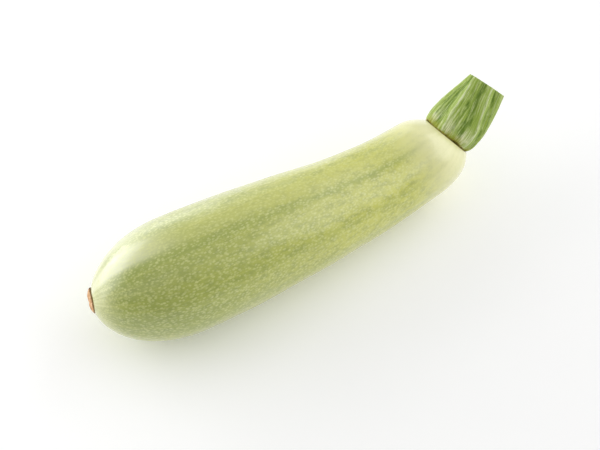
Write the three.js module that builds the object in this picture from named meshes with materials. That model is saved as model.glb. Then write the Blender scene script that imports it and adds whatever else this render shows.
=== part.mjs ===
// A pale-green courgette as picked: the fruit, the ridged stalk stump that it was cut from the
// plant by, and the dried scar that the blossom left at the other end. It lies on its belly.
// Units are millimetres, +Z is up, and +X runs from the blossom end towards the stalk.
import * as THREE from "three";

// Fruit. Places along it are shares of its length, 0 at the blossom end and 1 at the stalk seam.
const FRUIT_LENGTH = 170;
const BELLY_RADIUS = 25.3;
const NECK_RADIUS = 17.4;
const BELLY_AT = 0.22;
const SHOULDER_AT = 0.9;
const SHOULDER_POWER = 2.6;
const BLOSSOM_END_RADIUS = 4.9;
const SEAM_RADIUS = 11;
const BOW_DEPTH = 6.5;
const BOW_AT = 0.3;
const BOW_POWER = 2.4;
const NECK_LIFT = 10;
const NECK_LIFT_FROM = 0.5;
const NECK_LIFT_POWER = 5;
const FLATTENING = 1;
const MAIN_RIBS = 5;
const RIB_HEIGHT_BELLY = 0.1;
const RIB_HEIGHT_NECK = 0.4;

// Stalk stump: five sharp ridges with hollow flanks, swollen just above the seam.
const STEM_LENGTH = 27;
const STEM_CUT_RADIUS = 9;
const STEM_SWELLING = 2;
const STEM_BEND_SIDE = 1.8;
const STEM_BEND_UP = 1.1;
const STEM_RIDGES = 5;
const FLANK_DEPTH_BASE = 0.07;
const FLANK_DEPTH_CUT = 0.2;
const FLANK_RIDGE = 0.45;
const CUT_SLOPE = -0.18;
const CUT_SLOPE_TOWARDS = 0.49; // radians from the stump's own +X

// Blossom scar: a thin, slightly cupped disc with an uneven edge.
const SCAR_RADIUS = 5.3;
const SCAR_THICKNESS = 1.3;
const SCAR_CUP = 0.5;
const SCAR_EDGE_WAVE = 0.25;

const GAP = 0.3; // clearance between neighbouring pieces
const FRUIT_RINGS = 46;
const FRUIT_SIDES = 50;
const STEM_RINGS = 14;
const STEM_SIDES = 60;
const SCAR_SIDES = 32;

const { clamp, lerp, smoothstep } = THREE.MathUtils;

// Radius of the body before its two ends round off.
function bodyRadius(t) {
  return lerp(BELLY_RADIUS, NECK_RADIUS, smoothstep(t, BELLY_AT, 1));
}

// Mean radius of the fruit, with the elliptical blossom end and the shoulder at the stalk.
function fruitRadius(t) {
  const toBlossom = clamp((BELLY_AT - t) / BELLY_AT, 0, 1);
  const toSeam = clamp((t - SHOULDER_AT) / (1 - SHOULDER_AT), 0, 1);
  const blossomDrop = 1 - (BLOSSOM_END_RADIUS / BELLY_RADIUS) ** 2;
  const seamDrop = 1 - (SEAM_RADIUS / NECK_RADIUS) ** 2;
  const nose = Math.sqrt(1 - blossomDrop * toBlossom ** 2);
  const shoulder = Math.sqrt(1 - seamDrop * toSeam ** SHOULDER_POWER);
  return bodyRadius(t) * nose * shoulder;
}

// Height of the ribs: five main ones and five lesser ones between them, fading at both ends.
function ribHeight(t, angle) {
  const height = lerp(RIB_HEIGHT_BELLY, RIB_HEIGHT_NECK, smoothstep(t, 0.5, 0.95));
  const fade = Math.sqrt(Math.sin(Math.PI * clamp(t, 0, 1)));
  const wave = 0.6 * Math.cos(MAIN_RIBS * angle) + 0.4 * Math.cos(2 * MAIN_RIBS * angle);
  return height * fade * wave;
}

// The line through the middle of the fruit: bowed sideways in plan, straight along the belly
// where it lies, and rising at the neck.
class FruitAxis extends THREE.Curve {
  getPoint(t, target = new THREE.Vector3()) {
    const side = t < BOW_AT ? (BOW_AT - t) / BOW_AT : (t - BOW_AT) / (1 - BOW_AT);
    const lift = clamp((t - NECK_LIFT_FROM) / (1 - NECK_LIFT_FROM), 0, 1);
    const height = bodyRadius(t) - FLATTENING + NECK_LIFT * lift ** NECK_LIFT_POWER;
    return target.set(t * FRUIT_LENGTH, -BOW_DEPTH * (1 - side ** BOW_POWER), height);
  }
}

// Joins rings of points into one closed body, with a flat fan over each end.
function loft(rings) {
  const sides = rings[0].length;
  const points = rings.flat();
  const index = [];
  for (let ring = 0; ring < rings.length - 1; ring++) {
    for (let side = 0; side < sides; side++) {
      const a = ring * sides + side;
      const b = ring * sides + ((side + 1) % sides);
      index.push(a, b, b + sides, a, b + sides, a + sides);
    }
  }
  const lastRing = (rings.length - 1) * sides;
  const startCentre = points.push(middle(rings[0])) - 1;
  const endCentre = points.push(middle(rings.at(-1))) - 1;
  for (let side = 0; side < sides; side++) {
    const next = (side + 1) % sides;
    index.push(startCentre, next, side);
    index.push(endCentre, lastRing + side, lastRing + next);
  }
  const geometry = new THREE.BufferGeometry().setFromPoints(points);
  geometry.setIndex(index);
  geometry.computeVertexNormals();
  return geometry;
}

function middle(points) {
  const sum = points.reduce((total, point) => total.add(point), new THREE.Vector3());
  return sum.divideScalar(points.length);
}

function material(color, roughness) {
  return new THREE.MeshStandardMaterial({ color, roughness, metalness: 0 });
}

// Upright section frame of the fruit at a place along it.
function sectionFrame(axis, t) {
  const along = axis.getTangent(t);
  const side = new THREE.Vector3(0, 0, 1).cross(along).normalize();
  const up = along.clone().cross(side);
  return { along, side, up };
}

function fruit(axis) {
  const rings = [];
  for (let ring = 0; ring <= FRUIT_RINGS; ring++) {
    const t = (1 - Math.cos((Math.PI * ring) / FRUIT_RINGS)) / 2;
    const centre = axis.getPoint(t);
    const { side, up } = sectionFrame(axis, t);
    const points = [];
    for (let step = 0; step < FRUIT_SIDES; step++) {
      // Angle 0 is the middle of the underside, so the flattened patch lies evenly about it.
      const angle = (2 * Math.PI * step) / FRUIT_SIDES;
      const radius = fruitRadius(t) + ribHeight(t, angle);
      const point = centre.clone();
      point.addScaledVector(side, radius * Math.sin(angle));
      point.addScaledVector(up, -radius * Math.cos(angle));
      point.z = Math.max(point.z, 0);
      points.push(point);
    }
    rings.push(points);
  }
  const mesh = new THREE.Mesh(loft(rings), material("#a7b45c", 0.4));
  mesh.name = "fruit";
  return mesh;
}

// Share of the stump's radius at an angle: 1 on a ridge, less in the hollow between two ridges,
// where a low second ridge runs.
function stemSection(angle, height) {
  const depth = lerp(FLANK_DEPTH_BASE, FLANK_DEPTH_CUT, height);
  const fromRidge = Math.abs(Math.sin((STEM_RIDGES * angle) / 2));
  const lesserRidge = FLANK_RIDGE * fromRidge ** 12;
  return 1 - depth * (fromRidge ** 1.2 - lesserRidge);
}

function stemRadius(height) {
  const swelling = STEM_SWELLING * Math.sin(Math.PI * height ** 0.6);
  return lerp(SEAM_RADIUS, STEM_CUT_RADIUS, height) + swelling;
}

// The stump is built standing on its seam along its own +Z, and then set on the fruit's end.
function stem(axis) {
  const rings = [];
  for (let ring = 0; ring <= STEM_RINGS; ring++) {
    const height = (ring / STEM_RINGS) ** 1.3;
    const points = [];
    for (let step = 0; step < STEM_SIDES; step++) {
      const angle = (2 * Math.PI * step) / STEM_SIDES;
      const radius = stemRadius(height) * stemSection(angle, height);
      const x = radius * Math.cos(angle);
      const y = radius * Math.sin(angle);
      const towardsSlope = radius * Math.cos(angle - CUT_SLOPE_TOWARDS);
      const z = STEM_LENGTH * height + CUT_SLOPE * towardsSlope * height ** 4;
      points.push(new THREE.Vector3(
        x + STEM_BEND_SIDE * height ** 2,
        y + STEM_BEND_UP * height ** 2,
        z
      ));
    }
    rings.push(points);
  }
  const mesh = new THREE.Mesh(loft(rings), material("#7ea23f", 0.6));
  const { along, side, up } = sectionFrame(axis, 1);
  mesh.quaternion.setFromRotationMatrix(new THREE.Matrix4().makeBasis(side, up, along));
  mesh.position.copy(axis.getPoint(1)).addScaledVector(along, GAP);
  mesh.name = "stem";
  return mesh;
}

// The scar is turned about its own +Y, cupped in the middle, and set on the blossom end.
function blossomScar(axis) {
  const profile = [
    new THREE.Vector2(0, 0),
    new THREE.Vector2(SCAR_RADIUS * 0.9, 0),
    new THREE.Vector2(SCAR_RADIUS, SCAR_THICKNESS * 0.45),
    new THREE.Vector2(SCAR_RADIUS * 0.85, SCAR_THICKNESS),
    new THREE.Vector2(SCAR_RADIUS * 0.5, SCAR_THICKNESS - SCAR_CUP * 0.7),
    new THREE.Vector2(0, SCAR_THICKNESS - SCAR_CUP),
  ];
  const geometry = new THREE.LatheGeometry(profile, SCAR_SIDES);
  const place = geometry.attributes.position;
  for (let vertex = 0; vertex < place.count; vertex++) {
    const x = place.getX(vertex);
    const z = place.getZ(vertex);
    const angle = Math.atan2(z, x);
    const wave = Math.sin(3 * angle + 1) + 0.5 * Math.sin(7 * angle);
    const stretch = 1 + (SCAR_EDGE_WAVE / SCAR_RADIUS) * wave;
    place.setX(vertex, x * stretch);
    place.setZ(vertex, z * stretch);
  }
  geometry.computeVertexNormals();
  const mesh = new THREE.Mesh(geometry, material("#d8b088", 0.85));
  const outwards = axis.getTangent(0).negate();
  mesh.quaternion.setFromUnitVectors(new THREE.Vector3(0, 1, 0), outwards);
  mesh.position.copy(axis.getPoint(0)).addScaledVector(outwards, GAP);
  mesh.name = "blossom_scar";
  return mesh;
}

const axis = new FruitAxis();
const courgette = new THREE.Group();
courgette.add(fruit(axis), stem(axis), blossomScar(axis));

// The origin is put at the middle of the footprint, on the surface that the fruit lies on.
const box = new THREE.Box3().setFromObject(courgette, true);
const centre = box.getCenter(new THREE.Vector3());
courgette.position.set(-centre.x, -centre.y, -box.min.z);

export default courgette;
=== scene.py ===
"""Looks of a pale-green courgette: speckled waxy skin, ridged stalk stump and dried blossom scar.

Everything is in metres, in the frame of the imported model. Places along the fruit are shares of
its length, 0 at the blossom end and 1 at the stalk seam. Angles about the fruit start at its
underside, and angles about the stump at its side.
"""

import math

import bpy
import numpy as np
from mathutils import Matrix, Vector


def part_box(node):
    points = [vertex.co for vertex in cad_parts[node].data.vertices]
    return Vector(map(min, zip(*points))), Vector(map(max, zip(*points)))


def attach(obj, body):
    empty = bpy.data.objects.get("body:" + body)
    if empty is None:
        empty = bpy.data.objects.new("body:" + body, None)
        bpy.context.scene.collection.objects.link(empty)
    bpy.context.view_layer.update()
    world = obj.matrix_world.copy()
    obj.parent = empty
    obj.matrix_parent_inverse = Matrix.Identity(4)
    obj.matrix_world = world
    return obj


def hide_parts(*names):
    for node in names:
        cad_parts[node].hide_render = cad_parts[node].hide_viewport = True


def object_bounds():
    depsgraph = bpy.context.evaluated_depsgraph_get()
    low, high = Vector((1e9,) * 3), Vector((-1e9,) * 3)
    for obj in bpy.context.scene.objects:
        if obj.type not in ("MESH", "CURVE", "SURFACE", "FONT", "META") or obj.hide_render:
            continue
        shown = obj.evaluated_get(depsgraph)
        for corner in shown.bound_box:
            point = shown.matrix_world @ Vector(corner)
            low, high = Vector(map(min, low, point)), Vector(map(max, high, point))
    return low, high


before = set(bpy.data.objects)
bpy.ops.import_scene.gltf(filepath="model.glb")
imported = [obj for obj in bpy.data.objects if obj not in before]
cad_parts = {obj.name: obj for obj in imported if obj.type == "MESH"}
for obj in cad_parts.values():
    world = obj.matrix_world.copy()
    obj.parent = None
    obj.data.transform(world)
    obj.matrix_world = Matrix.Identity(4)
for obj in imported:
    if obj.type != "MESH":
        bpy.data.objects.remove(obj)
CAD_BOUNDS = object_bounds()

MM = 0.001
BODY = "root"
SEED = 7
GAP = 0.3 * MM  # what the CAD leaves between neighbouring pieces

# Fruit: the outline of the CAD node, with a slightly fuller shoulder.
FRUIT_LENGTH = 170 * MM
BELLY_RADIUS = 25.3 * MM
NECK_RADIUS = 17.4 * MM
BELLY_AT = 0.22
SHOULDER_AT = 0.9
SHOULDER_POWER = 3.0
BLOSSOM_END_RADIUS = 4.9 * MM
SEAM_RADIUS = 11.3 * MM
BOW_DEPTH = 6.5 * MM
BOW_AT = 0.3
BOW_POWER = 2.4
NECK_LIFT = 10 * MM
NECK_LIFT_FROM = 0.5
NECK_LIFT_POWER = 5
FLATTENING = 1 * MM
SEAM_SHIFT = np.array([-0.45, -0.75, -0.6]) * MM  # how far the stalk end leans off the CAD line
SEAM_SHIFT_FROM = 0.85
SEAM_TILT = np.array([-0.029, 0.071, 0.033])  # turn of the seam's plane, as a change of its normal
SEAM_TILT_FROM = 0.9
FRUIT_RINGS = 280
FRUIT_SIDES = 330

# Furrows that run the length of the fruit: (angle in degrees, strength).
FURROWS = [
    (14, 0.6), (52, 0.8), (88, 0.7), (124, 0.9), (160, 0.25),
    (194, 1.0), (238, 0.45), (274, 0.7), (309, 0.8), (343, 0.5),
]
FURROW_WIDTH = 4.6  # degrees
FURROW_DEPTH_BELLY = 0.1 * MM
FURROW_DEPTH_NECK = 0.3 * MM
# Paler skin between the furrows: (angle in degrees, strength).
LOBES = [
    (33, 0.3), (70, 0.6), (106, 0.4), (141, 0.5), (176, 0.95),
    (215, 0.15), (292, 0.6), (326, 0.3), (358, 0.6),
]
LOBE_WIDTH = 12  # degrees
BAND_TWIST = 5  # degrees that furrows and lobes turn over the length
# Places along the fruit between which each of these grows: (none, in full).
FURROWS_START = (0.0, 0.06)
FURROWS_END = (0.975, 0.88)
FURROWS_DEEPEN = (0.5, 0.9)
LOBES_END = (0.97, 0.85)
LUMP_HEIGHT = 0.16 * MM
LUMP_WAVES = 14
LUMP_WAVELENGTHS = (14 * MM, 34 * MM)
LUMP_DIRECTIONS = [1.0, 1.0, 0.45]  # less change along the fruit than across it

# Stalk stump. Its heights are shares of its length, 0 at the seam and 1 at the cut.
STEM_LENGTH = 27 * MM
STEM_CUT_RADIUS = 9 * MM
STEM_SWELLING = 2 * MM
STEM_SWELLING_POWER = 0.6  # puts the widest place a third of the way up
STEM_BULGE = 0.9 * MM  # swells further on one side
STEM_BULGE_TOWARDS = math.radians(200)
STEM_BEND_SIDE = 1.8 * MM
STEM_BEND_UP = 1.1 * MM
CUT_SLOPE = -0.18  # rise of the cut face for each metre across it
CUT_SLOPE_TOWARDS = 0.49  # radians
# Five main ridges with lesser ones between: (angle in degrees, height, half width in degrees).
STEM_RIDGES = [
    (32, 1.0, 13), (66, 0.35, 6), (82, 0.25, 4),
    (100, 1.0, 13), (126, 0.5, 6), (144, 0.25, 4),
    (163, 1.0, 13), (192, 0.55, 6), (212, 0.3, 4),
    (236, 1.0, 13), (266, 0.5, 6),
    (304, 1.0, 13), (322, 0.25, 4), (340, 0.55, 6),
]
RIDGE_ROUNDNESS = 1.15  # 1 is a sharp crest, 2 a round one
STEM_TWIST = math.radians(-28)
STEM_TWIST_POWER = 1.3
STEM_WOBBLE = 0.1  # sets how far the ridges stray sideways halfway up
FLANK_DEPTH_BASE = 0.12  # share of the radius
FLANK_DEPTH_CUT = 0.26
STRIATIONS = 31
STRIATION_DEPTH = 0.13 * MM
SEAM_WAVE = 0.3 * MM
STEM_RINGS = 90
STEM_RING_SPREAD = 1.2  # above 1, rings are closer together near the seam
STEM_SIDES = 400
CUT_RINGS = 26
CUT_HOLLOW = 0.5 * MM
INNERMOST_RING = 0.02  # share of the cut's radius

# Blossom scar.
SCAR_RADIUS = 5.2 * MM
SCAR_THICKNESS = 2.1 * MM
SCAR_HOLLOW = 0.2  # depth of the dimple in its middle, as a share of the thickness
SCAR_HOLLOW_RADIUS = 0.3  # share of the scar's radius
SCAR_LIP = 0.3 * MM
SCAR_SINK = 0.3 * MM  # how deep the whole disc is set into the fruit
SCAR_SKIRT = 0.9 * MM  # depth of its underside below the disc
SCAR_LEAN = 0.05  # turn towards the fruit's -Y side
SCAR_EDGE_WAVE = 0.15 * MM
SCAR_POINT = 0.5 * MM  # a torn corner of the edge
SCAR_POINT_TOWARDS = math.radians(40)
SCAR_POINT_WIDTH = 0.22  # radians
SCAR_SIDES = 180

# Colours.
# The near-white laid over the lobes on the top near the blossom end is a painted highlight.
SKIN = {
    "belly": "#94A12A", "neck": "#CBCD4A", "patch": "#B4BA48", "mottle": "#7A8A24",
    "streak": "#C8CA5C", "lobe": "#D6D882", "furrow": "#8C9C22", "shoulder": "#F3F1B6",
    "ray": "#E4E4A6", "painted_highlight": "#EEF0D0", "fleck": "#DBDF90", "seam": "#8B7A2A",
}
STUMP = {
    "hollow": "#557505", "flank": "#97B044", "fibre": "#B7CB74", "dash": "#4C6A04",
    "dark": "#4A6C00", "light": "#D3DCA2", "ridge": "#D6E0AC", "patch": "#EEF0C4",
    "base": "#A3A81E", "seam": "#C2B84E", "seam spot": "#7A6A1C",
}
CUT = {
    "core": "#E2E9C0", "ring": "#C4D68C", "fibre": "#EDF1D4", "vessel": "#8FA757", "rim": "#7E9F3E",
}
SCAR = {"dark": "#D09A66", "pale": "#EFCBA2", "crack": "#9A6A38", "edge": "#7C5A2B"}
FLOOR_DARK = (0.93, 0.93, 0.93, 1.0)
FLOOR_PALE = (0.95, 0.95, 0.95, 1.0)
WHITE = (1.0, 1.0, 1.0, 1.0)

# Flecks of the skin: cells per metre, and how far their outlines wander.
SMALL_FLECKS = 1120.0
LARGE_FLECKS = 740.0
FLECK_WANDER = 0.9 * MM
FLECK_STRETCH = (1, 1, 0.62)  # a little longer along the fruit

# Studio. The camera looks down on the near side, with the stalk up to the right.
CAMERA_LENS = 100
CAMERA_SENSOR = 36
CAMERA_AZIMUTH = math.radians(-29.91)
CAMERA_ELEVATION = math.radians(54.73)
CAMERA_DISTANCE = 700.1 * MM
CAMERA_AIM_RIGHT = -3.55 * MM
CAMERA_AIM_UP = -4.66 * MM
FLOOR_HALF_SIDE = 3.0
FLOOR_GLOW = 0.14  # the floor is a lit white table
WORLD_STRENGTH = 0.5
# Name, azimuth and elevation in degrees, distance, width and height in metres, power in watts.
SOFTBOXES = [
    ("left_softbox", 135, 14.5, 0.514, 0.6, 0.42, 1.65),
    ("low_softbox", 100, 6, 0.51, 0.45, 0.2, 0.45),
    ("back_softbox", 78, 18, 0.8, 0.45, 0.4, 0.4),
    ("right_softbox", -12, 30, 1.5, 2.4, 1.4, 13.0),
    ("top_softbox", 0, 89, 1.6, 2.0, 2.0, 3.0),
]


# ---------------------------------------------------------------- shape functions


def smoothstep(x, low, high):
    """0 at low, 1 at high and smooth between them; low may be the larger one."""
    x = np.clip((x - low) / (high - low), 0, 1)
    return x * x * (3 - 2 * x)


def lerp(a, b, share):
    return a + (b - a) * share


def body_radius(t):
    return lerp(BELLY_RADIUS, NECK_RADIUS, smoothstep(t, BELLY_AT, 1))


def fruit_radius(t):
    to_blossom = np.clip((BELLY_AT - t) / BELLY_AT, 0, 1)
    to_seam = np.clip((t - SHOULDER_AT) / (1 - SHOULDER_AT), 0, 1)
    nose = np.sqrt(1 - (1 - (BLOSSOM_END_RADIUS / BELLY_RADIUS) ** 2) * to_blossom**2)
    shoulder = np.sqrt(1 - (1 - (SEAM_RADIUS / NECK_RADIUS) ** 2) * to_seam**SHOULDER_POWER)
    return body_radius(t) * nose * shoulder


def axis_point(t):
    """Middle of the fruit at a place along it, before the model's origin is added."""
    t = np.asarray(t, float)
    side = np.where(t < BOW_AT, (BOW_AT - t) / BOW_AT, (t - BOW_AT) / (1 - BOW_AT))
    lift = np.clip((t - NECK_LIFT_FROM) / (1 - NECK_LIFT_FROM), 0, 1)
    height = body_radius(t) - FLATTENING + NECK_LIFT * lift**NECK_LIFT_POWER
    bow = -BOW_DEPTH * (1 - np.abs(side) ** BOW_POWER)
    lean = smoothstep(t, SEAM_SHIFT_FROM, 1)[..., None] * SEAM_SHIFT
    return np.stack([t * FRUIT_LENGTH, bow, height], axis=-1) + lean


def section_frame(t):
    """Unit vectors along the axis, to its side and up, at places along the fruit."""
    step = 1e-4
    t = np.asarray(t, float)
    along = axis_point(np.clip(t + step, 0, 1)) - axis_point(np.clip(t - step, 0, 1))
    along /= np.linalg.norm(along, axis=-1, keepdims=True)
    side = np.cross([0.0, 0.0, 1.0], along)
    side /= np.linalg.norm(side, axis=-1, keepdims=True)
    return along, side, np.cross(along, side)


def model_origin():
    """What to add to the shape functions' points, so that their fruit fills the CAD fruit's box."""
    low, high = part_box("fruit")
    t = np.linspace(0, 1, 2001)
    _, side, up = section_frame(t)
    reach = np.hypot(side, up) * fruit_radius(t)[:, None]
    lowest = (axis_point(t) - reach).min(axis=0)
    highest = (axis_point(t) + reach).max(axis=0)
    middle_y = (lowest[1] + highest[1]) / 2
    return np.array([low.x - lowest[0], (low.y + high.y) / 2 - middle_y, 0.0])


def tilted(offset, along, share):
    """Offsets from the axis after their plane is turned by a share of the seam's tilt."""
    return offset - along * ((offset @ SEAM_TILT) * share)[..., None]


def angle_between(angle, other):
    """Signed difference of two angles in radians, from -pi to pi."""
    return (angle - other + math.pi) % (2 * math.pi) - math.pi


def lengthwise_bands(t, angle, bands, width):
    """Soft bands that run the length of the fruit: a band's strength on it, and 0 away from all."""
    total = np.zeros(np.broadcast(t, angle).shape)
    for degrees, strength in bands:
        middle = math.radians(degrees) + math.radians(BAND_TWIST) * (t - 0.5)
        off = angle_between(angle, middle) / math.radians(width)
        total = total + strength * np.exp(-(off**2))
    return total


def lumps(places, rng):
    """Low, wide unevenness: a sum of waves in random directions, mostly from -1 to 1."""
    total = np.zeros(places.shape[:-1])
    for _ in range(LUMP_WAVES):
        direction = rng.normal(size=3) * LUMP_DIRECTIONS
        direction /= np.linalg.norm(direction)
        wavelength = rng.uniform(*LUMP_WAVELENGTHS)
        phase = rng.uniform(0, 2 * math.pi)
        total += np.sin(places @ direction * 2 * math.pi / wavelength + phase)
    return total / math.sqrt(LUMP_WAVES)


# ---------------------------------------------------------------- mesh building


def loft_faces(rings, sides):
    """Faces between rings of vertices, and a fan of triangles over each open end."""
    ring, side = np.meshgrid(np.arange(rings - 1), np.arange(sides), indexing="ij")
    a = (ring * sides + side).ravel()
    b = (ring * sides + (side + 1) % sides).ravel()
    faces = np.stack([a, b, b + sides, a + sides], axis=1).tolist()
    start, end, last = rings * sides, rings * sides + 1, (rings - 1) * sides
    for step in range(sides):
        following = (step + 1) % sides
        faces.append([start, following, step])
        faces.append([end, last + step, last + following])
    return faces


def make_mesh(name, points, faces, attributes):
    """A smooth-shaded mesh object; attributes maps a name to one value or vector per vertex."""
    mesh = bpy.data.meshes.new(name)
    mesh.from_pydata(points.tolist(), [], faces)
    mesh.polygons.foreach_set("use_smooth", [True] * len(mesh.polygons))
    for key, values in attributes.items():
        values = np.asarray(values, np.float32)
        kind, field = ("FLOAT_VECTOR", "vector") if values.ndim == 2 else ("FLOAT", "value")
        mesh.attributes.new(key, kind, "POINT").data.foreach_set(field, values.ravel())
    mesh.update()
    piece = bpy.data.objects.new(name, mesh)
    bpy.context.scene.collection.objects.link(piece)
    return piece


def with_centres(grid):
    """Flattens a ring grid and adds the middle of its first and last ring."""
    flat = grid.reshape(-1, *grid.shape[2:])
    ends = [grid[0].mean(axis=0), grid[-1].mean(axis=0)]
    return np.concatenate([flat, np.array(ends)])


def loft(name, points, attributes):
    """A closed mesh object from rings of points, with a value or vector for each point."""
    rings, sides = points.shape[:2]
    values = {key: with_centres(grid) for key, grid in attributes.items()}
    return make_mesh(name, with_centres(points), loft_faces(rings, sides), values)


def ring_angles(sides):
    """Angles of the points of a ring, as one row."""
    return np.linspace(0, 2 * math.pi, sides, endpoint=False)[None, :]


# ---------------------------------------------------------------- pieces


def build_fruit(origin):
    rng = np.random.default_rng(SEED)
    turn = np.linspace(0, math.pi, FRUIT_RINGS)[:, None]
    t, angle = np.broadcast_arrays((1 - np.cos(turn)) / 2, ring_angles(FRUIT_SIDES))
    along, side, up = section_frame(t)

    # The fruit straightened out, as the place that its patterns are made in.
    radius = fruit_radius(t)
    straight = np.stack(
        [radius * np.cos(angle), radius * np.sin(angle), t * FRUIT_LENGTH], axis=-1
    )

    # Furrows fade out at both ends, and lobes only towards the stalk.
    furrow = lengthwise_bands(t, angle, FURROWS, FURROW_WIDTH)
    furrow = furrow * smoothstep(t, *FURROWS_END) * smoothstep(t, *FURROWS_START)
    lobe = lengthwise_bands(t, angle, LOBES, LOBE_WIDTH) * smoothstep(t, *LOBES_END)
    fade = np.sqrt(np.clip(np.sin(math.pi * t), 0, 1))
    depth = lerp(FURROW_DEPTH_BELLY, FURROW_DEPTH_NECK, smoothstep(t, *FURROWS_DEEPEN))
    radius = radius + fade * (LUMP_HEIGHT * lumps(straight, rng) - depth * furrow)

    offset = side * (radius * np.sin(angle))[..., None] - up * (radius * np.cos(angle))[..., None]
    points = axis_point(t) + tilted(offset, along, smoothstep(t, SEAM_TILT_FROM, 1))
    points[..., 2] = np.maximum(points[..., 2], 0)
    around = np.stack([np.cos(angle), np.sin(angle), t], axis=-1)
    attributes = {
        "straight": straight, "around": around, "along": t, "furrow": furrow, "lobe": lobe,
    }
    fruit = loft("fruit_skin", points + origin, attributes)
    fruit.data.materials.append(skin_material())
    return fruit


def stem_crest(angle):
    """1 on the crest of a main ridge of the stump, 0 in the bottom of a hollow."""
    total = np.zeros(angle.shape)
    for degrees, height, half_width in STEM_RIDGES:
        off = np.abs(angle_between(angle, math.radians(degrees))) / math.radians(half_width)
        total = np.maximum(total, height * np.exp(-(off**RIDGE_ROUNDNESS)))
    return total


def stem_radius(height, angle):
    bulge = STEM_BULGE * np.clip(np.cos(angle - STEM_BULGE_TOWARDS), 0, 1)
    swelling = np.sin(math.pi * np.clip(height, 0, 1) ** STEM_SWELLING_POWER)
    return lerp(SEAM_RADIUS, STEM_CUT_RADIUS, height) + (STEM_SWELLING + bulge) * swelling


def striations(angle):
    """Fine grooves around the stump, uneven in their spacing and depth."""
    groove = np.sin(STRIATIONS * angle + 2 * np.sin(5 * angle))
    return STRIATION_DEPTH * groove * (0.6 + 0.4 * np.sin(9 * angle))


def stem_places(height, angle, inward):
    """Points of the stump in its own frame: x to the side, y up and z along its axis.

    Also gives the crest value and the untwisted angle of each point. Inward is 1 on the wall and
    falls to 0 in the middle of the cut face.
    """
    untwisted = angle - STEM_TWIST * height**STEM_TWIST_POWER
    untwisted += STEM_WOBBLE * height * (1 - height) * np.sin(3 * angle + 9 * height)
    crest = stem_crest(untwisted)
    depth = lerp(FLANK_DEPTH_BASE, FLANK_DEPTH_CUT, height)
    radius = stem_radius(height, angle) * (1 - depth * (1 - crest)) + striations(untwisted)
    radius = radius * inward

    x = radius * np.cos(angle) + STEM_BEND_SIDE * height**2
    y = radius * np.sin(angle) + STEM_BEND_UP * height**2
    # The slope of the cut dies out below it, and the wave of the seam just above the seam.
    slope = CUT_SLOPE * radius * np.cos(angle - CUT_SLOPE_TOWARDS) * height**4
    wave = SEAM_WAVE * (np.sin(3 * angle + 0.6) + 0.6 * np.sin(8 * angle)) * (1 - height) ** 8
    return np.stack([x, y, STEM_LENGTH * height + slope + wave], axis=-1), crest, untwisted


def build_stem(origin):
    wall = (np.linspace(0, 1, STEM_RINGS) ** STEM_RING_SPREAD)[:, None]
    face = np.linspace(1, INNERMOST_RING, CUT_RINGS)[1:, None]
    height = np.concatenate([wall, np.ones_like(face)])
    inward = np.concatenate([np.ones_like(wall), face])
    height, inward, angle = np.broadcast_arrays(height, inward, ring_angles(STEM_SIDES))

    local, crest, untwisted = stem_places(height, angle, inward)
    local[..., 2] -= CUT_HOLLOW * (1 - inward**2) * (height >= 1)
    local[0, :, 2] -= GAP  # the first ring reaches down to the fruit

    # The base follows the fruit's shifted and tilted seam, and the cut end stays where it was.
    along, side, up = section_frame(1.0)
    base = axis_point(1.0) + along * GAP + origin
    offset = tilted(local[..., :1] * side + local[..., 1:2] * up, along, (1 - height) ** 2)
    points = base + offset + local[..., 2:] * along - SEAM_SHIFT * height[..., None] ** 2
    streaks = np.stack([np.cos(untwisted), np.sin(untwisted), height], axis=-1)
    attributes = {
        "crest": crest, "streaks": streaks, "height": height, "inward": inward, "place": local,
    }
    stem = loft("stem_stump", points, attributes)
    stem.data.materials.append(stem_material())
    stem.data.materials.append(cut_material())
    first_on_face = (STEM_RINGS - 1) * STEM_SIDES
    for polygon in stem.data.polygons:
        polygon.material_index = 1 if min(polygon.vertices) >= first_on_face else 0
    return stem


def scar_top(radial, angle):
    """Height of the scar's upper side: a crumpled dome with a dimple and a thin raised lip."""
    dome = np.clip(1 - radial**2, 0, 1) ** 0.6
    dimple = SCAR_HOLLOW * np.exp(-((radial / SCAR_HOLLOW_RADIUS) ** 2))
    folds = 0.07 * np.sin(9 * angle + 4 * radial) + 0.05 * np.sin(23 * angle - 5 * radial)
    crumple = folds * radial * (1.02 - radial) * 4
    return SCAR_THICKNESS * (dome - dimple + crumple) + SCAR_LIP * smoothstep(radial, 0.7, 1)


def build_scar(origin):
    """A dried disc that hugs the blossom end; its underside is sunk in the fruit."""
    # The outer rings are shared between the underside and the top, with a steep wall between them.
    edge = np.linspace(0.96, 1.0, 8)
    underside = np.concatenate([np.linspace(0.03, 0.94, 8), edge[:4]])
    top = np.concatenate([edge[4:], np.linspace(0.99, 0.03, 56)])
    radial = np.concatenate([underside, top])[:, None]
    is_under = np.arange(len(radial))[:, None] < len(underside)
    radial, is_under, angle = np.broadcast_arrays(radial, is_under, ring_angles(SCAR_SIDES))

    wave = np.sin(3 * angle + 1) + 0.5 * np.sin(7 * angle) + 0.35 * np.sin(17 * angle + 2)
    point = np.exp(-(angle_between(angle, SCAR_POINT_TOWARDS) / SCAR_POINT_WIDTH) ** 2)
    radius = radial * (SCAR_RADIUS + SCAR_EDGE_WAVE * wave + SCAR_POINT * point)
    height = np.where(is_under, -SCAR_SKIRT, scar_top(radial, angle))

    along, side, _ = section_frame(0.0)
    outwards = -along - SCAR_LEAN * side
    outwards /= np.linalg.norm(outwards)
    turn = np.array(Vector((0, 1, 0)).rotation_difference(Vector(outwards)).to_matrix())
    local = np.stack([radius * np.cos(angle), height, radius * np.sin(angle)], axis=-1)
    points = local @ turn.T + axis_point(0.0) - outwards * SCAR_SINK + origin
    # The rings run from the underside over to the top, so the faces are turned round to face out.
    scar = loft("blossom_scar_disc", points, {"radial": radial, "place": local})
    scar.data.flip_normals()
    scar.data.materials.append(scar_material())
    return scar


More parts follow.
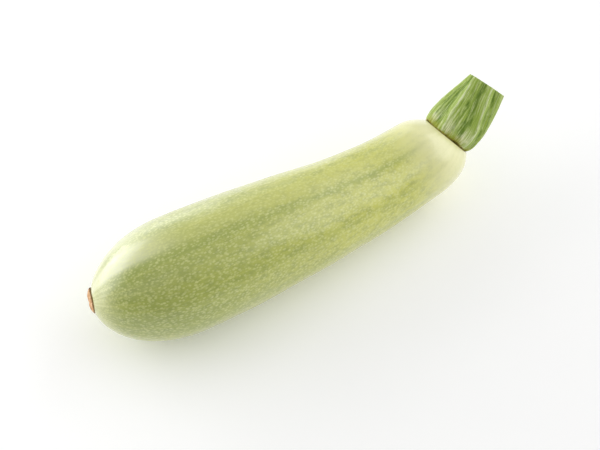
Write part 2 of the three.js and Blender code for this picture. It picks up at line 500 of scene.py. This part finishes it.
# ---------------------------------------------------------------- materials


def srgb(code):
    """Linear RGBA of a hex colour."""
    channels = [int(code[i:i + 2], 16) / 255 for i in (1, 3, 5)]
    linear = [c / 12.92 if c <= 0.04045 else ((c + 0.055) / 1.055) ** 2.4 for c in channels]
    return (*linear, 1.0)


class Nodes:
    """Short calls that add nodes to one material's tree and link them."""

    def __init__(self, name):
        self.material = bpy.data.materials.new(name)
        self.material.use_nodes = True
        self.tree = self.material.node_tree
        self.shader = self.tree.nodes["Principled BSDF"]

    def put(self, socket, value):
        if isinstance(value, bpy.types.NodeSocket):
            self.tree.links.new(value, socket)
        else:
            socket.default_value = value

    def add(self, kind, inputs, **settings):
        node = self.tree.nodes.new(kind)
        for key, value in settings.items():
            setattr(node, key, value)
        for key, value in inputs.items():
            self.put(node.inputs[key], value)
        return node

    def shade(self, **sockets):
        """Sets the shader's sockets, named with _ for each space, and gives the material."""
        for name, value in sockets.items():
            self.put(self.shader.inputs[name.replace("_", " ")], value)
        return self.material

    def attribute(self, name):
        return self.add("ShaderNodeAttribute", {}, attribute_name=name).outputs["Fac"]

    def vector(self, name):
        return self.add("ShaderNodeAttribute", {}, attribute_name=name).outputs["Vector"]

    def stretch(self, vector, scale):
        inputs = {0: vector, 1: scale}
        return self.add("ShaderNodeVectorMath", inputs, operation="MULTIPLY").outputs[0]

    def noise(self, vector, scale=1.0, stretch=None, detail=3.0, rough=0.5):
        """Noise from 0 to 1. Stretch is a further scale for each axis, smaller to draw it out."""
        if stretch:
            vector = self.stretch(vector, stretch)
        inputs = {"Vector": vector, "Scale": scale, "Detail": detail, "Roughness": rough}
        return self.add("ShaderNodeTexNoise", inputs).outputs["Fac"]

    def cells(self, vector, scale):
        """Distance from the middle of a cell, and the cell's own random number."""
        node = self.add("ShaderNodeTexVoronoi", {"Vector": vector, "Scale": scale})
        chance = self.add("ShaderNodeSeparateColor", {"Color": node.outputs["Color"]})
        return node.outputs["Distance"], chance.outputs["Red"]

    def ramp(self, value, low, high, to_low=0.0, to_high=1.0):
        """Smooth step of a value from one range to another."""
        inputs = {"Value": value, "From Min": low, "From Max": high,
                  "To Min": to_low, "To Max": to_high}
        node = self.add("ShaderNodeMapRange", inputs, interpolation_type="SMOOTHSTEP")
        return node.outputs["Result"]

    def math(self, operation, a, b):
        return self.add("ShaderNodeMath", {0: a, 1: b}, operation=operation).outputs[0]

    def times(self, a, b):
        return self.math("MULTIPLY", a, b)

    def mix(self, share, a, b):
        node = self.add("ShaderNodeMix", {}, data_type="RGBA")
        for socket, value in zip((node.inputs[0], node.inputs[6], node.inputs[7]), (share, a, b)):
            self.put(socket, value)
        return node.outputs[2]

    def cover(self, ground, share, code):
        """A share of a hex colour laid over the ground."""
        return self.mix(share, ground, srgb(code))

    def bump(self, height, strength, distance):
        inputs = {"Height": height, "Strength": strength, "Distance": distance}
        return self.add("ShaderNodeBump", inputs).outputs["Normal"]


def skin_speckles(nodes, straight):
    """Share of pale fleck at each point: small dense flecks and a few larger ones."""
    wobble = nodes.add("ShaderNodeTexNoise", {"Vector": straight, "Scale": 700.0}).outputs["Color"]
    inputs = {0: wobble, 1: (FLECK_WANDER, FLECK_WANDER, FLECK_WANDER), 2: straight}
    shifted = nodes.add("ShaderNodeVectorMath", inputs, operation="MULTIPLY_ADD").outputs[0]
    warped = nodes.stretch(shifted, FLECK_STRETCH)

    distance, chance = nodes.cells(warped, SMALL_FLECKS)
    small = nodes.times(nodes.ramp(distance, 0.6, 0.25), nodes.ramp(chance, -0.4, 0.7))
    distance, chance = nodes.cells(warped, LARGE_FLECKS)
    large = nodes.times(nodes.ramp(distance, 0.42, 0.2), nodes.ramp(chance, 0.45, 1.0))
    return nodes.math("MAXIMUM", nodes.times(small, 0.8), large)


def skin_bands(nodes, ground, around, along):
    """Streaks, pale lobes and green furrow lines that run the length of the fruit."""
    streaks = nodes.noise(around, stretch=(26, 26, 5), detail=4.0, rough=0.6)
    streaks = nodes.ramp(streaks, 0.5, 0.72, 0.0, 0.45)
    streaks = nodes.times(streaks, nodes.ramp(along, 0.97, 0.8))
    ground = nodes.cover(ground, streaks, SKIN["streak"])
    lobe = nodes.ramp(nodes.attribute("lobe"), 0.0, 1.0, 0.0, 0.42)
    ground = nodes.cover(ground, lobe, SKIN["lobe"])
    line = nodes.times(nodes.attribute("furrow"), nodes.ramp(along, 0.3, 0.8, 0.4, 0.6))
    return nodes.cover(ground, line, SKIN["furrow"])


def skin_ends(nodes, ground, around, along):
    """The cream shoulder at the stalk, pale rays about the scar, and a painted highlight over the
    pale lobes on the top near the scar.
    """
    uneven = nodes.ramp(nodes.noise(around, stretch=(5, 5, 2), detail=2.0), 0.3, 0.7, 0.86, 1.0)
    shoulder = nodes.times(nodes.ramp(along, 0.8, 0.99), uneven)
    ground = nodes.cover(ground, shoulder, SKIN["shoulder"])

    rays = nodes.noise(around, stretch=(14, 14, 4), detail=4.0, rough=0.6)
    tip = nodes.times(nodes.ramp(along, 0.06, 0.0), nodes.ramp(rays, 0.36, 0.7, 0.35, 0.9))
    ground = nodes.cover(ground, tip, SKIN["ray"])

    # The X of "around" is the cosine of the angle from the underside, so -1 is the top.
    cosine = nodes.add("ShaderNodeSeparateXYZ", {"Vector": around}).outputs["X"]
    # Painted highlight: near-white laid over the lobes on the top of the fruit near the blossom
    # end, where the lamps' highlight falls.
    near_tip = nodes.ramp(along, 0.26, 0.06, 0.0, 0.55)
    painted_highlight = nodes.times(nodes.ramp(nodes.attribute("lobe"), 0.0, 0.6), near_tip)
    painted_highlight = nodes.times(painted_highlight, nodes.ramp(cosine, -0.4, -0.7))
    return nodes.cover(ground, painted_highlight, SKIN["painted_highlight"])


def skin_material():
    nodes = Nodes("courgette_skin")
    straight, around = nodes.vector("straight"), nodes.vector("around")
    along = nodes.attribute("along")

    ground = nodes.mix(nodes.ramp(along, 0.1, 0.8), srgb(SKIN["belly"]), srgb(SKIN["neck"]))
    patches = nodes.noise(straight, 75.0, (1, 1, 0.35), 3.0, 0.55)
    ground = nodes.cover(ground, nodes.ramp(patches, 0.35, 0.7, 0.0, 0.34), SKIN["patch"])
    mottle = nodes.noise(straight, 420.0, (1, 1, 0.5), 4.0, 0.65)
    ground = nodes.cover(ground, nodes.ramp(mottle, 0.4, 0.7, 0.0, 0.5), SKIN["mottle"])
    ground = skin_bands(nodes, ground, around, along)
    ground = skin_ends(nodes, ground, around, along)

    flecks = skin_speckles(nodes, straight)
    fleck_share = nodes.times(flecks, nodes.ramp(along, 0.8, 1.0, 0.56, 0.1))
    ground = nodes.cover(ground, fleck_share, SKIN["fleck"])
    colour = nodes.cover(ground, nodes.ramp(along, 0.9985, 1.0), SKIN["seam"])

    relief = nodes.math("ADD", nodes.times(flecks, 0.5), mottle)
    return nodes.shade(
        Base_Color=colour,
        Roughness=nodes.ramp(nodes.noise(straight, 260.0), 0.3, 0.7, 0.3, 0.42),
        Specular_IOR_Level=1.0,
        Coat_Weight=1.0,
        Coat_Roughness=0.2,
        Normal=nodes.bump(relief, 0.35, 0.12 * MM),
    )


def stump_base(nodes, ground, streaks, crest, fibres):
    """Pale patches low on the stump, a yellow-green foot and the brown-spotted line of the seam."""
    height = nodes.attribute("height")
    patches = nodes.noise(streaks, stretch=(3.2, 3.2, 2.4), rough=0.6)
    low = nodes.times(nodes.ramp(height, 0.4, 0.05), nodes.ramp(patches, 0.45, 0.62))
    low = nodes.times(low, nodes.ramp(fibres, 0.35, 0.6, 0.15, 1.0))
    ground = nodes.cover(ground, low, STUMP["patch"])
    base = nodes.times(nodes.ramp(height, 0.16, 0.0), nodes.ramp(crest, 0.7, 0.2, 0.1, 0.8))
    ground = nodes.cover(ground, base, STUMP["base"])

    spots = nodes.ramp(nodes.noise(streaks, stretch=(5, 5, 1)), 0.4, 0.62)
    seam = nodes.mix(spots, srgb(STUMP["seam"]), srgb(STUMP["seam spot"]))
    return nodes.mix(nodes.ramp(height, 0.02, 0.006, 0.0, 0.9), ground, seam)


def stem_material():
    nodes = Nodes("stump_skin")
    crest, streaks = nodes.attribute("crest"), nodes.vector("streaks")

    ground = nodes.mix(nodes.ramp(crest, 0.0, 0.4), srgb(STUMP["hollow"]), srgb(STUMP["flank"]))
    fibres = nodes.noise(streaks, stretch=(26, 26, 3.2), detail=4.0, rough=0.7)
    ground = nodes.cover(ground, nodes.ramp(fibres, 0.42, 0.62, 0.0, 0.75), STUMP["fibre"])
    dashes = nodes.noise(streaks, stretch=(34, 34, 6), rough=0.65)
    ground = nodes.cover(ground, nodes.ramp(dashes, 0.55, 0.68, 0.0, 0.6), STUMP["dash"])

    # Dark blotches gather in the hollows and light ones follow the fibres.
    blotches = nodes.noise(streaks, stretch=(7, 7, 4), detail=4.0, rough=0.65)
    in_hollows = nodes.ramp(crest, 0.6, 0.25, 0.1, 0.75)
    dark = nodes.times(nodes.ramp(blotches, 0.48, 0.64), in_hollows)
    ground = nodes.cover(ground, dark, STUMP["dark"])
    on_fibres = nodes.ramp(fibres, 0.4, 0.6, 0.0, 0.7)
    light = nodes.times(nodes.ramp(blotches, 0.5, 0.36), on_fibres)
    ground = nodes.cover(ground, light, STUMP["light"])

    broken = nodes.ramp(nodes.noise(streaks, stretch=(20, 20, 9)), 0.35, 0.6, 0.2, 1.0)
    ridge = nodes.times(nodes.ramp(crest, 0.72, 0.98), broken)
    ground = nodes.cover(ground, ridge, STUMP["ridge"])
    ground = stump_base(nodes, ground, streaks, crest, fibres)

    fuzz = nodes.noise(nodes.vector("place"), 1500.0)
    relief = nodes.math("ADD", nodes.math("ADD", fibres, blotches), nodes.times(fuzz, 0.3))
    return nodes.shade(
        Base_Color=ground,
        Roughness=nodes.ramp(fuzz, 0.3, 0.7, 0.5, 0.65),
        Specular_IOR_Level=0.3,
        Normal=nodes.bump(relief, 0.6, 0.4 * MM),
    )


def cut_material():
    """The cut face: a pale core, a ring of vessels and a green rim."""
    nodes = Nodes("stump_cut")
    inward, place = nodes.attribute("inward"), nodes.vector("place")
    fibre = nodes.noise(place, 900.0, detail=4.0, rough=0.6)
    ground = nodes.mix(nodes.ramp(inward, 0.3, 0.85), srgb(CUT["core"]), srgb(CUT["ring"]))
    ground = nodes.cover(ground, nodes.ramp(fibre, 0.4, 0.65, 0.0, 0.5), CUT["fibre"])
    distance, chance = nodes.cells(place, 620.0)
    vessels = nodes.times(nodes.ramp(distance, 0.4, 0.2), nodes.ramp(chance, 0.3, 1.0))
    in_ring = nodes.times(nodes.ramp(inward, 0.5, 0.62), nodes.ramp(inward, 0.86, 0.74))
    ground = nodes.cover(ground, nodes.times(vessels, in_ring), CUT["vessel"])
    ground = nodes.cover(ground, nodes.ramp(inward, 0.88, 1.0), CUT["rim"])
    return nodes.shade(
        Base_Color=ground,
        Roughness=nodes.ramp(fibre, 0.3, 0.7, 0.35, 0.55),
        Normal=nodes.bump(fibre, 0.6, 0.3 * MM),
    )


def scar_material():
    """Dry, corky brown with darker cracks and a dark edge."""
    nodes = Nodes("dried_scar")
    radial, place = nodes.attribute("radial"), nodes.vector("place")
    grain = nodes.noise(place, 700.0, detail=4.0, rough=0.65)
    ground = nodes.mix(nodes.ramp(grain, 0.35, 0.65), srgb(SCAR["dark"]), srgb(SCAR["pale"]))
    cracks = nodes.noise(place, 420.0, (1, 0.3, 1), rough=0.6)
    ground = nodes.cover(ground, nodes.ramp(cracks, 0.54, 0.66, 0.0, 0.6), SCAR["crack"])
    ground = nodes.cover(ground, nodes.ramp(radial, 0.86, 0.98), SCAR["edge"])
    return nodes.shade(
        Base_Color=ground,
        Roughness=nodes.ramp(grain, 0.3, 0.7, 0.75, 0.9),
        Normal=nodes.bump(grain, 0.7, 0.3 * MM),
    )


def floor_material():
    nodes = Nodes("studio_floor")
    grain = nodes.noise(nodes.add("ShaderNodeTexCoord", {}).outputs["Object"], 30.0)
    return nodes.shade(
        Base_Color=nodes.mix(grain, FLOOR_DARK, FLOOR_PALE),
        Roughness=0.7,
        Specular_IOR_Level=0.2,
        Emission_Color=WHITE,
        Emission_Strength=FLOOR_GLOW,
    )


# ---------------------------------------------------------------- stage


def build_floor():
    half = FLOOR_HALF_SIDE
    corners = np.array([(-half, -half, 0), (half, -half, 0), (half, half, 0), (-half, half, 0)])
    floor = make_mesh("studio_floor", corners, [[0, 1, 2, 3]], {})
    floor.data.materials.append(floor_material())


def direction(azimuth, elevation):
    """Unit vector towards an azimuth in degrees, counted from +X towards +Y, and an elevation."""
    a, e = math.radians(azimuth), math.radians(elevation)
    return Vector((math.cos(a) * math.cos(e), math.sin(a) * math.cos(e), math.sin(e)))


def add_softbox(centre, name, azimuth, elevation, distance, width, height, power):
    """A rectangular lamp that faces the centre and that the camera doesn't see."""
    light = bpy.data.lights.new(name, "AREA")
    light.shape = "RECTANGLE"
    light.size = width
    light.size_y = height
    light.energy = power
    lamp = bpy.data.objects.new(name, light)
    towards = direction(azimuth, elevation)
    lamp.location = centre + towards * distance
    lamp.rotation_euler = towards.to_track_quat("Z", "Y").to_euler()
    lamp.visible_camera = False
    bpy.context.scene.collection.objects.link(lamp)


def add_world():
    world = bpy.data.worlds.new("studio")
    world.use_nodes = True
    background = world.node_tree.nodes["Background"]
    background.inputs["Color"].default_value = WHITE
    background.inputs["Strength"].default_value = WORLD_STRENGTH
    bpy.context.scene.world = world


def add_camera(centre):
    """A camera whose azimuth is 0 when it looks along +Y and grows as it moves towards +X."""
    azimuth, elevation = CAMERA_AZIMUTH, CAMERA_ELEVATION
    forward = Vector((-math.sin(azimuth) * math.cos(elevation),
                      math.cos(azimuth) * math.cos(elevation), -math.sin(elevation)))
    right = Vector((math.cos(azimuth), math.sin(azimuth), 0))
    up = right.cross(forward)
    target = centre + right * CAMERA_AIM_RIGHT + up * CAMERA_AIM_UP
    data = bpy.data.cameras.new("camera")
    data.lens = CAMERA_LENS
    data.sensor_width = CAMERA_SENSOR
    camera = bpy.data.objects.new("camera", data)
    turn = Matrix((right, up, -forward)).transposed().to_4x4()
    camera.matrix_world = Matrix.Translation(target - forward * CAMERA_DISTANCE) @ turn
    bpy.context.scene.collection.objects.link(camera)
    bpy.context.scene.camera = camera


def build_studio():
    centre = (CAD_BOUNDS[0] + CAD_BOUNDS[1]) / 2
    build_floor()
    add_world()
    for softbox in SOFTBOXES:
        add_softbox(centre, *softbox)
    add_camera(centre)
    bpy.context.scene.view_settings.view_transform = "Standard"


def stand_for(piece, node):
    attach(piece, BODY)
    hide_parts(node)


def main():
    origin = model_origin()
    stand_for(build_fruit(origin), "fruit")
    stand_for(build_stem(origin), "stem")
    stand_for(build_scar(origin), "blossom_scar")
    build_studio()


main()
